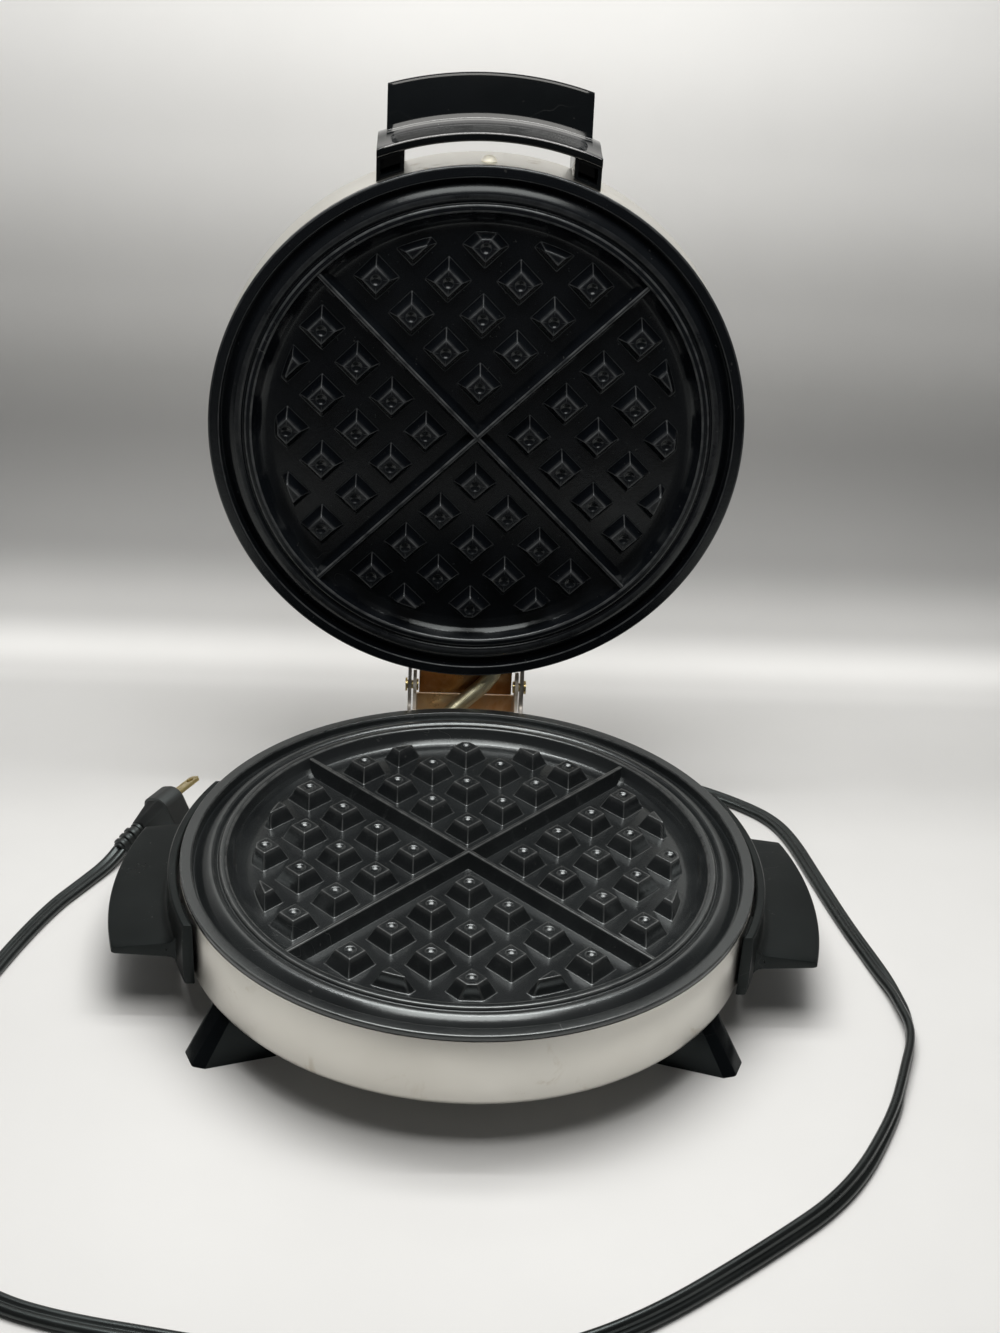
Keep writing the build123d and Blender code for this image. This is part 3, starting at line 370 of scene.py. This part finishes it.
# the lid bracket gets the same heat-stained steel in darker tones: heat colours plus painted shade
M["bracket_dark"] = heat_bracket("heat_stained_steel_painted_shade", [(0.26, 0.13, 0.06), (0.36, 0.18, 0.07), (0.48, 0.25, 0.10), (0.42, 0.24, 0.12), (0.30, 0.19, 0.11), (0.58, 0.40, 0.22)])

def lens():
    mt = Mat("lens_moulding")
    col = mt.mix(mt.rng(mt.noise(300, 3, 0.5), 0.35, 0.65, 0.0, 1.0), (0.80, 0.77, 0.66), (0.90, 0.88, 0.80))
    nrm = mt.bump(mt.noise(900, 2, 0.5), 0.08, 0.00004)
    mt.set(Base_Color=col, Roughness=mt.rng(mt.noise(200, 2, 0.5), 0.3, 0.7, 0.16, 0.26), Normal=nrm)
    mt.b.inputs["Transmission Weight"].default_value = 0.05
    # painted glow: the unlit lens is given a faint cream emission so it reads as lit
    mt.b.inputs["Emission Color"].default_value = (0.95, 0.9, 0.76, 1)
    mt.b.inputs["Emission Strength"].default_value = 0.30
    mt.b.inputs["Subsurface Weight"].default_value = 0.25
    mt.b.inputs["Subsurface Radius"].default_value = (0.002, 0.0018, 0.0012)
    return mt.m
M["lens"] = lens()
M["ceramic"] = plastic("ceramic_body", (0.62, 0.58, 0.50), (0.72, 0.69, 0.62), (0.3, 0.5), 0.5, 0.1, 800, 0.1, 0.1)
M["sleeve"] = plastic("glass_sleeve", (0.55, 0.50, 0.40), (0.68, 0.64, 0.54), (0.6, 0.8), 0.3, 0.1, 2500, 0.4, 0.1)
M["lamp"] = plastic("lamp_glass", (0.7, 0.55, 0.4), (0.85, 0.7, 0.55), (0.05, 0.12), 0.5, 0.0, 500, 0.01, 0.0)

SLOT_MAT = {"nonstick": "nonstick", "steel": "steel", "aluminised": "aluminised", "handle_black": "handle_black", "leg_black": "leg_black",
            "bracket": "bracket", "brass": "brass", "zinc": "zinc", "conduit_metal": "conduit", "cord_black": "cord_black",
            "element_metal": "element", "lens": "lens", "lamp_glass": "lamp", "ceramic": "ceramic", "lead_sleeve": "sleeve"}
for nm, ob in frame["nodes"].items():
    for s in ob.material_slots:
        if s.material:
            key = s.material.name.split(".")[0]
            if key in SLOT_MAT:
                s.link = "OBJECT"
                s.material = M[SLOT_MAT[key]]

# ------------------------------------------------------------------ cord: the route, as laid out in the model
ZF = -50.0 + 1.9
CORD_EXIT_DEG, CORD_EXIT_Z, CORD_EXIT_DIP, R_RIM = 56.5, -19.0, 35.0, 115.3
ca, dip = radians(CORD_EXIT_DEG), radians(CORD_EXIT_DIP)
ex = (cos(ca) * cos(dip), sin(ca) * cos(dip), -sin(dip))
q0 = (R_RIM * cos(ca) + 2.4 * cos(ca), R_RIM * sin(ca) + 2.4 * sin(ca), CORD_EXIT_Z)
s1 = tuple(q0[i] + 20.0 * ex[i] for i in range(3))
s2 = tuple(s1[i] + 13.0 * ex[i] for i in range(3))
route = [s1, s2, (90.1, 127.3, -43.4), (102.6, 129.7, -46.6), (115.4, 127.4, ZF + 0.2), (133.4, 115.8, ZF), (147.0, 103.2, ZF), (154.2, 86.5, ZF),
         (159.8, 54.0, ZF), (166.0, 20.0, ZF), (172.6, -8.0, ZF + 0.25), (177.4, -33.0, ZF + 1.2), (176.6, -55.0, ZF + 1.85), (167.6, -77.0, ZF + 1.8), (158.6, -100.0, ZF + 1.6),
         (134.5, -138.0, ZF + 1.5), (99.0, -165.5, ZF + 1.4), (53.0, -197.0, ZF + 1.35), (12.0, -212.0, ZF + 1.2), (-42.0, -213.5, ZF + 0.75), (-94.3, -202.6, ZF + 0.15),
         (-128.1, -196.2, ZF), (-153.0, -188.0, ZF), (-187.0, -166.0, ZF), (-205.0, -126.0, ZF), (-201.8, -72.0, ZF), (-187.8, -16.8, ZF),
         (-175.1, 19.3, ZF), (-164.6, 37.7, ZF), (-155.6, 52.6, ZF + 0.9), (-152.4, 59.2, -44.8)]

def spline_points(name, pts, res=12):
    cu = bpy.data.curves.new(name, "CURVE")
    cu.dimensions = "3D"
    cu.resolution_u = res
    sp = cu.splines.new("NURBS")
    sp.points.add(len(pts) - 1)
    for k, q in enumerate(pts):
        sp.points[k].co = (*P(*q), 1.0)
    sp.order_u = 3
    sp.use_endpoint_u = True
    sp.resolution_u = res
    ob = bpy.data.objects.new(name, cu)
    scene.collection.objects.link(ob)
    bpy.context.view_layer.update()
    me = bpy.data.meshes.new_from_object(ob)
    out = [v.co.copy() for v in me.vertices]
    bpy.data.meshes.remove(me)
    bpy.data.objects.remove(ob, do_unlink=True)
    bpy.data.curves.remove(cu)
    return out

def sweep(path, ring_at, closed_ends=True, up_hint=Vector((0, 0, 1))):
    # rings of points carried along a path, wide side level
    verts, faces = [], []
    n = None
    for k, q in enumerate(path):
        a = path[max(0, k - 1)]
        b = path[min(len(path) - 1, k + 1)]
        t = (b - a).normalized()
        w = t.cross(up_hint).normalized()
        h = w.cross(t).normalized()
        ring = ring_at(k, q)
        n = len(ring)
        for (u, v) in ring:
            verts.append(q + w * u + h * v)
    for k in range(len(path) - 1):
        for j in range(n):
            j2 = (j + 1) % n
            faces.append((k * n + j, k * n + j2, (k + 1) * n + j2, (k + 1) * n + j))
    if closed_ends:
        faces.append(tuple(range(n - 1, -1, -1)))
        faces.append(tuple((len(path) - 1) * n + j for j in range(n)))
    return verts, faces

cord_path = spline_points("cord_line", route, 12)
# the flat cord rolls on to its edge at the right and lies tilted along the front
LEAN = [((172.6, -8.0), 0), ((177.4, -33.0), 38), ((176.6, -55.0), 84), ((167.6, -77.0), 82), ((158.6, -100.0), 70), ((134.5, -138.0), 54),
        ((99.0, -165.5), 50), ((53.0, -197.0), 48), ((12.0, -212.0), 38), ((-42.0, -213.5), 18), ((-94.3, -202.6), 0)]
def nearest(xy):
    t = P(xy[0], xy[1], ZF)
    return min(range(len(cord_path)), key=lambda i: (cord_path[i] - t).length)
lean_at = [(nearest(xy), d) for xy, d in LEAN]
def lean(k):
    if k <= lean_at[0][0] or k >= lean_at[-1][0]:
        return 0.0
    for (k0, d0), (k1, d1) in zip(lean_at, lean_at[1:]):
        if k0 <= k <= k1:
            t = (k - k0) / max(1, k1 - k0)
            return radians(d0 + (d1 - d0) * t * t * (3 - 2 * t))
    return 0.0
def cord_ring(k, q):
    out = []
    lobe, off = 1.80, 1.70
    c, d = cos(lean(k)), sin(lean(k))
    for side in (1, -1):
        for i in range(13):
            a = radians(-144 + 288 * i / 12)
            u, v = side * (off + lobe * cos(a)), side * lobe * sin(a)
            out.append(((u * c - v * d) / 1000, (u * d + v * c) / 1000))
    return out
cv, cf = sweep(cord_path, cord_ring)
cord_me = mesh_of("power_cord_flat", cv, cf, 50)
cord_ob = link("power_cord_flat", cord_me, "base", [M["cord_black"]])
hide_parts("power_cord")

# ------------------------------------------------------------------ plug and strain reliefs
plug_ob = refine("plug_body", "plug_moulding", "base", M["plug_black"], 0.0, sharp=50)
relief_ob = refine("plug_strain_relief", "plug_relief_ribs", "base", M["plug_black"], 0.35, 2, 40, 50)
gland_ob = refine("cord_strain_relief", "cord_outlet_bush", "base", M["cord_black"], 0.4, 2, 40, 50)
blades_ob = refine("plug_blades", "plug_contact_blades", "base", M["brass"], 0.2, 2, 30, 40)

# ------------------------------------------------------------------ flexible conduit
conduit_line = [(-13.6, 103.0, -18.4), (-12.8, 114.0, -15.6), (-8.8, 123.4, -8.4), (1.5, 124.3, 1.6), (9.6, 124.4, 9.6), (14.0, 125.4, 17.2), (15.0, 129.8, 26.0)]
cp = spline_points("conduit_line", conduit_line, 40)
def resample(pts, step):
    acc = [0.0]
    for i in range(1, len(pts)):
        acc.append(acc[-1] + (pts[i] - pts[i - 1]).length)
    n = int(acc[-1] / step)
    out, j = [], 0
    for k in range(n + 1):
        s = acc[-1] * k / n
        while j < len(acc) - 2 and acc[j + 1] < s:
            j += 1
        t = (s - acc[j]) / max(1e-9, acc[j + 1] - acc[j])
        out.append(pts[j].lerp(pts[j + 1], t))
    return out
cp = resample(cp, 0.00013)
def conduit_ring(k, q):
    r = 0.00350 + 0.00029 * abs(sin(pi * k * 0.13 / 0.72)) ** 0.7
    return [(r * cos(2 * pi * j / 28), r * sin(2 * pi * j / 28)) for j in range(28)]
vv, ff = sweep(cp, conduit_ring, True, Vector((0.0, 1.0, 0.001)))
cond_me = mesh_of("flexible_conduit", vv, ff, 60)
cond_ob = link("flexible_conduit", cond_me, None, [M["conduit"]])
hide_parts("conduit")
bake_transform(cond_ob)

# ------------------------------------------------------------------ grids
PITCH_S, U0, STUD_TOP, STUD_FOOT, DEPTH = 21.08, 15.79, 4.03, 6.8, 6.3
CLIP_TOP, CLIP_FOOT = 85.8, 87.2
plate = [(0, -6.3), (88.0, -6.3), (89.2, -6.27), (91.2, -6.0), (93.2, -5.1), (94.9, -3.4), (96.0, -1.3),
         (96.7, 0.35), (97.3, 0.9), (99.5, 0.9), (99.9, 0.5), (100.3, -0.3), (100.8, -0.35), (101.3, 0.2),
         (102.1, 0.72), (103.1, 0.9), (104.1, 0.75), (105.1, 0.32), (106.1, -0.3), (107.1, -1.1), (108.1, -2.0),
         (109.0, -2.75), (109.6, -3.05), (110.15, -3.05), (110.4, -0.2), (110.6, 0.65), (110.9, 0.9), (114.6, 0.9),
         (115.1, 0.7), (115.3, 0.2), (115.3, -1.1), (115.0, -1.4), (114.1, -1.4), (114.1, -5.6), (112.2, -5.6),
         (112.0, -4.8), (99.5, -4.6), (96.8, -6.2), (93.5, -9.0), (90.5, -9.5), (0, -9.5)]

def eased(pts, cut=0.35, rounds=2):
    for _ in range(rounds):
        out = [pts[0]]
        for k in range(1, len(pts) - 1):
            p0, p1, p2 = pts[k - 1], pts[k], pts[k + 1]
            for q in (p0, p2):
                d = hypot(q[0] - p1[0], q[1] - p1[1])
                c = min(0.25 * d, cut)
                out.append((p1[0] + (q[0] - p1[0]) * c / d, p1[1] + (q[1] - p1[1]) * c / d))
        out.append(pts[-1])
        pts = out
        cut *= 0.45
    return pts

class Build:
    def __init__(self):
        self.v, self.f, self.w = [], [], []
    def revolve(self, pts, seg=288, edge_wear_and_highlight=None):
        base = len(self.v)
        n = len(pts)
        for k in range(seg):
            a = 2 * pi * k / seg
            for i, (r, z) in enumerate(pts):
                self.v.append((r * cos(a), r * sin(a), z))
                self.w.append(edge_wear_and_highlight(r, z) if edge_wear_and_highlight else 0.0)
        for k in range(seg):
            k2 = (k + 1) % seg
            for i in range(n - 1):
                a0, a1, b0, b1 = base + k * n + i, base + k * n + i + 1, base + k2 * n + i, base + k2 * n + i + 1
                self.f.append((a0, b0, b1, a1))
    def rings(self, rings, wears_and_highlights, cap_first=True):
        base = len(self.v)
        n = len(rings[0])
        for rg, ws in zip(rings, wears_and_highlights):
            self.v.extend(rg)
            self.w.extend(ws)
        for i in range(len(rings) - 1):
            for j in range(n):
                j2 = (j + 1) % n
                self.f.append((base + i * n + j, base + (i + 1) * n + j, base + (i + 1) * n + j2, base + i * n + j2))
        if cap_first:
            c = len(self.v)
            x = sum(p[0] for p in rings[0]) / n
            y = sum(p[1] for p in rings[0]) / n
            z = sum(p[2] for p in rings[0]) / n
            self.v.append((x, y, z))
            self.w.append(0.0)
            for j in range(n):
                self.f.append((c, base + j, base + (j + 1) % n))

RE, RF = 0.48, 0.65
TURN = atan2(DEPTH, STUD_FOOT - STUD_TOP)
def stud_levels(dimple):
    L = RE * sin(TURN / 2) / cos(TURN / 2)
    Lf = RF * sin(TURN / 2) / cos(TURN / 2)
    # the last value of each level lightens the coating there: edge wear plus painted highlight on the rounded top
    # edges, the dimple rim and the foot
    lev = []     # (kind, size, z, wear)
    if dimple:
        R = (2.25 ** 2 + 1.0) / 2.0
        for r in (0.45, 0.9, 1.3, 1.65, 1.9, 2.08):
            lev.append(("c", r, -(sqrt(R * R - r * r) - (R - 1.0)), 0.0))
        lev += [("c", 2.22, -0.09, 0.2), ("c", 2.36, -0.025, 0.2), ("c", 2.55, 0.0, 0.0)]
    else:
        lev += [("i", 0.25, 0.0, 0.0), ("i", 0.6, 0.0, 0.0)]
    lev += [("s", STUD_TOP - 0.75, 0.0, 0.1), ("s", STUD_TOP - L, 0.0, 0.7)]
    for t in (0.25, 0.5, 0.75, 1.0):
        a = pi / 2 - TURN * t
        lev.append(("s", STUD_TOP - L + RE * cos(a), -RE + RE * sin(a), 1.0 if t < 0.99 else 0.5))
    for t in (0.25, 0.55, 0.82):
        z = -0.7 - (DEPTH - 1.5) * t
        lev.append(("s", STUD_TOP + (STUD_FOOT - STUD_TOP) * (-z / DEPTH), z, 0.0))
    for t in (0.0, 0.33, 0.66, 1.0):
        a = pi + (pi / 2 - TURN) + TURN * t
        lev.append(("s", STUD_FOOT + Lf + RF * cos(a), -DEPTH + RF + RF * sin(a), 0.3 if 0.1 < t < 0.9 else 0.0))
    lev.append(("s", STUD_FOOT + Lf + 0.25, -DEPTH - 0.02, 0.0))
    return lev

def add_stud(bd, cx, cy, rot, clipped, dimple):
    e1 = (cos(rot), sin(rot))
    e2 = (-sin(rot), cos(rot))
    if clipped and not dimple:
        # the piece of the stud inside the clip circle, seen from a point within it
        r = hypot(cx, cy)
        k = (CLIP_TOP - 1.75) / r
        ox, oy = cx * k, cy * k
    else:
        ox, oy = cx, cy
    if clipped:
        angs = [2 * pi * j / 132 for j in range(132)]
    else:
        angs = []
        for c in range(4):
            base = rot + pi / 4 + c * pi / 2
            for d in (-36, -24, -14, -8, -5, -3, -1.5, 0, 1.5, 3, 5, 8, 14, 24, 36, 45):
                angs.append(base + radians(d))
    q = 26.0
    rings, wears_and_highlights = [], []
    for kind, size, z, w0 in stud_levels(dimple):
        ring, ws = [], []
        for a in angs:
            dx, dy = cos(a), sin(a)
            if kind == "c":
                t, wc = size, 0.0
            else:
                d = size if kind == "s" else STUD_TOP - 1.0
                terms = []
                for nx, ny in (e1, e2, (-e1[0], -e1[1]), (-e2[0], -e2[1])):
                    dist = d - ((ox - cx) * nx + (oy - cy) * ny)
                    c = nx * dx + ny * dy
                    if c > 1e-6:
                        terms.append(c / max(dist, 0.02))
                if clipped:
                    nominal = STUD_TOP + (STUD_FOOT - STUD_TOP) * (-min(z, 0.0) / DEPTH)
                    Rc = CLIP_TOP + (CLIP_FOOT - CLIP_TOP) * (-z / DEPTH) - (nominal - d)
                    b = ox * dx + oy * dy
                    cc = ox * ox + oy * oy - Rc * Rc
                    disc = b * b - cc
                    tc = -b + sqrt(max(disc, 0.0))
                    terms.append(1.0 / max(tc, 0.05))
                terms.sort(reverse=True)
                inv = sum(s ** q for s in terms) ** (1 / q)
                t = 1.0 / inv
                # the stud's corner ridges are lightened too: edge wear plus painted highlight
                rr = terms[1] / terms[0] if len(terms) > 1 else 0.0
                wc = max(0.0, min(1.0, (rr - 0.9) / 0.1))
                if kind == "i":
                    t = t * size
            ring.append((ox + dx * t, oy + dy * t, z))
            on_side = kind == "s" and -DEPTH + 0.3 < z < 0.01
            ws.append(max(w0, wc if on_side else 0.0))
        rings.append(ring)
        wears_and_highlights.append(ws)
    bd.rings(rings, wears_and_highlights)

def add_rib(bd, rot):
    # a ridge across the plate, its section drawn from floor to floor
    half = [(3.45, -6.32), (3.28, -6.29), (3.05, -6.1), (2.85, -5.65), (2.2, -3.95), (1.5, -2.1), (0.98, -0.62), (0.86, -0.3), (0.70, -0.1), (0.45, -0.01), (0.0, 0.0)]
    sec = half + [(-a, b) for a, b in reversed(half[:-1])]
    us = [-96.75, -95.5, -92, -86] + [-80 + 10 * i for i in range(17)] + [86, 92, 95.5, 96.75]
    base = len(bd.v)
    n = len(sec)
    for u in us:
        for (v, z) in sec:
            bd.v.append((u * cos(rot) - v * sin(rot), u * sin(rot) + v * cos(rot), z))
            # the ridge's top edges are lightened: edge wear plus painted highlight
            bd.w.append(1.0 if z > -0.35 and abs(v) > 0.4 else (0.15 if z > -0.4 else 0.0))
    for i in range(len(us) - 1):
        for j in range(n - 1):
            bd.f.append((base + i * n + j, base + (i + 1) * n + j, base + (i + 1) * n + j + 1, base + i * n + j + 1))

def grid_piece(name, node, body, mp, mat, posts):
    bd = Build()
    # lip, crest and flange edges are lightened: edge wear plus painted highlight
    def lip_wear_and_highlight(r, z):
        w = 0.0
        if z > 0.3 and (96.6 < r < 97.6 or 99.2 < r < 100.1):
            w = 0.8
        if 102.0 < r < 104.2 and z > 0.6:
            w = 0.25
        if 114.4 < r and z > 0.1 or 110.3 < r < 111.0 and z > 0.3:
            w = 0.55
        return w
    bd.revolve(eased(plate), 288, lip_wear_and_highlight)
    for quarter in range(4):
        for k in range(5):
            along = (2 * U0 + k * PITCH_S) / sqrt(2)
            for mm in range(k + 1):
                if k == 4 and mm in (0, 4):
                    continue
                across = (2 * mm - k) * PITCH_S / sqrt(2)
                a = pi / 2 * quarter
                cx, cy = along * cos(a) - across * sin(a), along * sin(a) + across * cos(a)
                add_stud(bd, cx, cy, a + pi / 4, k == 4, k < 4 or mm == 2)
    add_rib(bd, pi / 4)
    add_rib(bd, 3 * pi / 4)
    for i in range(4):
        a = pi / 4 + i * pi / 2
        cx, cy = 80 * cos(a), 80 * sin(a)
        prof = [(1.95, -15), (1.95, posts), (2.3, posts - 0.3), (4.2, posts - 0.3), (4.5, posts), (4.5, -10), (5.2, -9.4)]
        base = len(bd.v)
        for kk in range(32):
            b = 2 * pi * kk / 32
            for (r, z) in prof:
                bd.v.append((cx + r * cos(b), cy + r * sin(b), z))
                bd.w.append(0.0)
        n = len(prof)
        for kk in range(32):
            k2 = (kk + 1) % 32
            for j in range(n - 1):
                bd.f.append((base + kk * n + j, base + k2 * n + j, base + k2 * n + j + 1, base + kk * n + j + 1))
    me = mesh_of(name, [P(*mp(v)) for v in bd.v], bd.f, 55, {"edge_wear_and_highlight": bd.w})
    ob = link(name, me, body, [mat])
    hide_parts(node)
    return ob

grid_piece("lower_waffle_grid", "lower_grid", "base", same, M["nonstick"], -28.6)
grid_piece("upper_waffle_grid", "upper_grid", "lid", over_lid, M["nonstick_lid"], -32.0)

# ------------------------------------------------------------------ shells, handles, legs, brackets
refine("base_shell", "base_drum", "base", M["steel"], 0.15, 2, 40, 30)
refine("lid_shell", "lid_drum", "lid", M["steel"], 0.15, 2, 40, 30)
refine("left_side_handle", "left_handle_moulding", "base", M["handle_black"], 0.45, 3, 28, 30, 0.25)
refine("right_side_handle", "right_handle_moulding", "base", M["handle_black"], 0.45, 3, 28, 30, 0.25)
refine("lid_handle", "lid_handle_moulding", "lid", M["lid_handle_black"], 0.5, 3, 28, 30)
for nm in ("front_right_leg", "front_left_leg", "back_right_leg", "back_left_leg"):
    refine(nm, nm + "_moulding", "base", M["leg_black"], 1.0, 4, 25, 30)
refine("base_hinge_bracket", "base_hinge_plate", "base", M["bracket"], 0.25, 2, 40, 40)
refine("lid_hinge_bracket", "lid_hinge_plate", "lid", M["bracket_dark"], 0.25, 2, 40, 40)

# ------------------------------------------------------------------ floor, sweep and light
def stage_mesh(name, verts, faces, mat):
    me = bpy.data.meshes.new(name)
    me.from_pydata([tuple(v) for v in verts], [], faces)
    for p in me.polygons:
        p.use_smooth = True
    me.materials.append(mat)
    ob = bpy.data.objects.new(name, me)
    scene.collection.objects.link(ob)
    return ob

def sweep_mat():
    mt = Mat("pale_sweep")
    col = mt.mix(mt.rng(mt.noise(6, 4, 0.6), 0.3, 0.7, 0.0, 1.0), (0.79, 0.785, 0.77), (0.83, 0.825, 0.81))
    nrm = mt.bump(mt.noise(500, 3, 0.5), 0.04, 0.0002)
    sep = mt.n("ShaderNodeSeparateXYZ")
    mt.l(mt.obj, sep.inputs[0])
    run = mt.rng(mt.math("ADD", sep.outputs[1], sep.outputs[2]), -0.32, 0.68, 0.0, 1.0)
    g = lambda v: (v, v, v)
    at = lambda mm: (mm - 20.2 + 320.0) / 1000.0
    # painted light and shade: the sweep's colour is darkened and lightened in bands along its run from floor up the
    # wall
    painted_light_and_shade_run = mt.ramp(run, [(at(-183), g(0.98)), (at(-32), g(0.90)), (at(76), g(0.87)), (at(154), g(0.74)), (at(216), g(0.78)), (at(234), g(0.86)),
                              (at(258), g(1.04)), (at(297), g(0.66)), (at(361), g(0.38)), (at(441), g(0.33)), (at(532), g(0.6)), (at(612), g(0.87)), (at(677), g(1.0))], "EASE")
    col = mt.mix(1.0, col, painted_light_and_shade_run, "MULTIPLY")
    mt.set(Base_Color=col, Roughness=0.6, Normal=nrm)
    mt.b.inputs["Specular IOR Level"].default_value = 0.2
    geo = mt.n("ShaderNodeNewGeometry")
    tr = mt.n("ShaderNodeBsdfTransparent")
    mx = mt.n("ShaderNodeMixShader")
    out = mt.nt.nodes["Material Output"]
    mt.l(geo.outputs["Backfacing"], mx.inputs["Fac"])
    mt.l(mt.b.outputs[0], mx.inputs[1])
    mt.l(tr.outputs[0], mx.inputs[2])
    mt.l(mx.outputs[0], out.inputs["Surface"])
    return mt.m
pts = [(-275, 0), (-200, 0), (0, 0), (225, 0)]
Rs = 130.0
for i in range(1, 17):
    a = pi / 2 * i / 16
    pts.append((225 + Rs * sin(a), Rs - Rs * cos(a)))
pts += [(225 + Rs, 400), (225 + Rs, 900)]
sv, sf = [], []
xs = [-1600, -800, -300, 0, 300, 800, 1600]
for (y, z) in pts:
    for x in xs:
        sv.append(P(x, y, z - 50.0))
for i in range(len(pts) - 1):
    for j in range(len(xs) - 1):
        k = i * len(xs) + j
        sf.append((k, k + 1, k + 1 + len(xs), k + len(xs)))
stage_mesh("pale_sweep", sv, sf, sweep_mat())

def area(name, at, look, sx, sy, power, color=(1, 1, 1)):
    ld = bpy.data.lights.new(name, "AREA")
    ld.shape = "RECTANGLE"
    ld.size, ld.size_y = sx, sy
    ld.energy = power
    ld.color = color
    ob = bpy.data.objects.new(name, ld)
    scene.collection.objects.link(ob)
    ob.location = P(*at)
    d = (P(*look) - P(*at)).normalized()
    ob.rotation_euler = d.to_track_quat("-Z", "Y").to_euler()
    return ob
area("top_soft", (0, -15, 640), (0, -15, 0), 0.44, 0.52, 4.25, (1.0, 0.99, 0.97))
area("back_strip", (0, 190, 640), (0, 260, 0), 0.9, 0.10, 0.9, (1.0, 1.0, 0.99))
area("wide_strip", (0, 60, 650), (0, 0, 0), 0.7, 0.014, 1.1, (1.0, 1.0, 1.0))

world = bpy.data.worlds.new("studio")
scene.world = world
world.use_nodes = True
bg = world.node_tree.nodes["Background"]
bg.inputs["Color"].default_value = (0.86, 0.87, 0.88, 1)
bg.inputs["Strength"].default_value = 0.075
scene.view_settings.view_transform = "Standard"
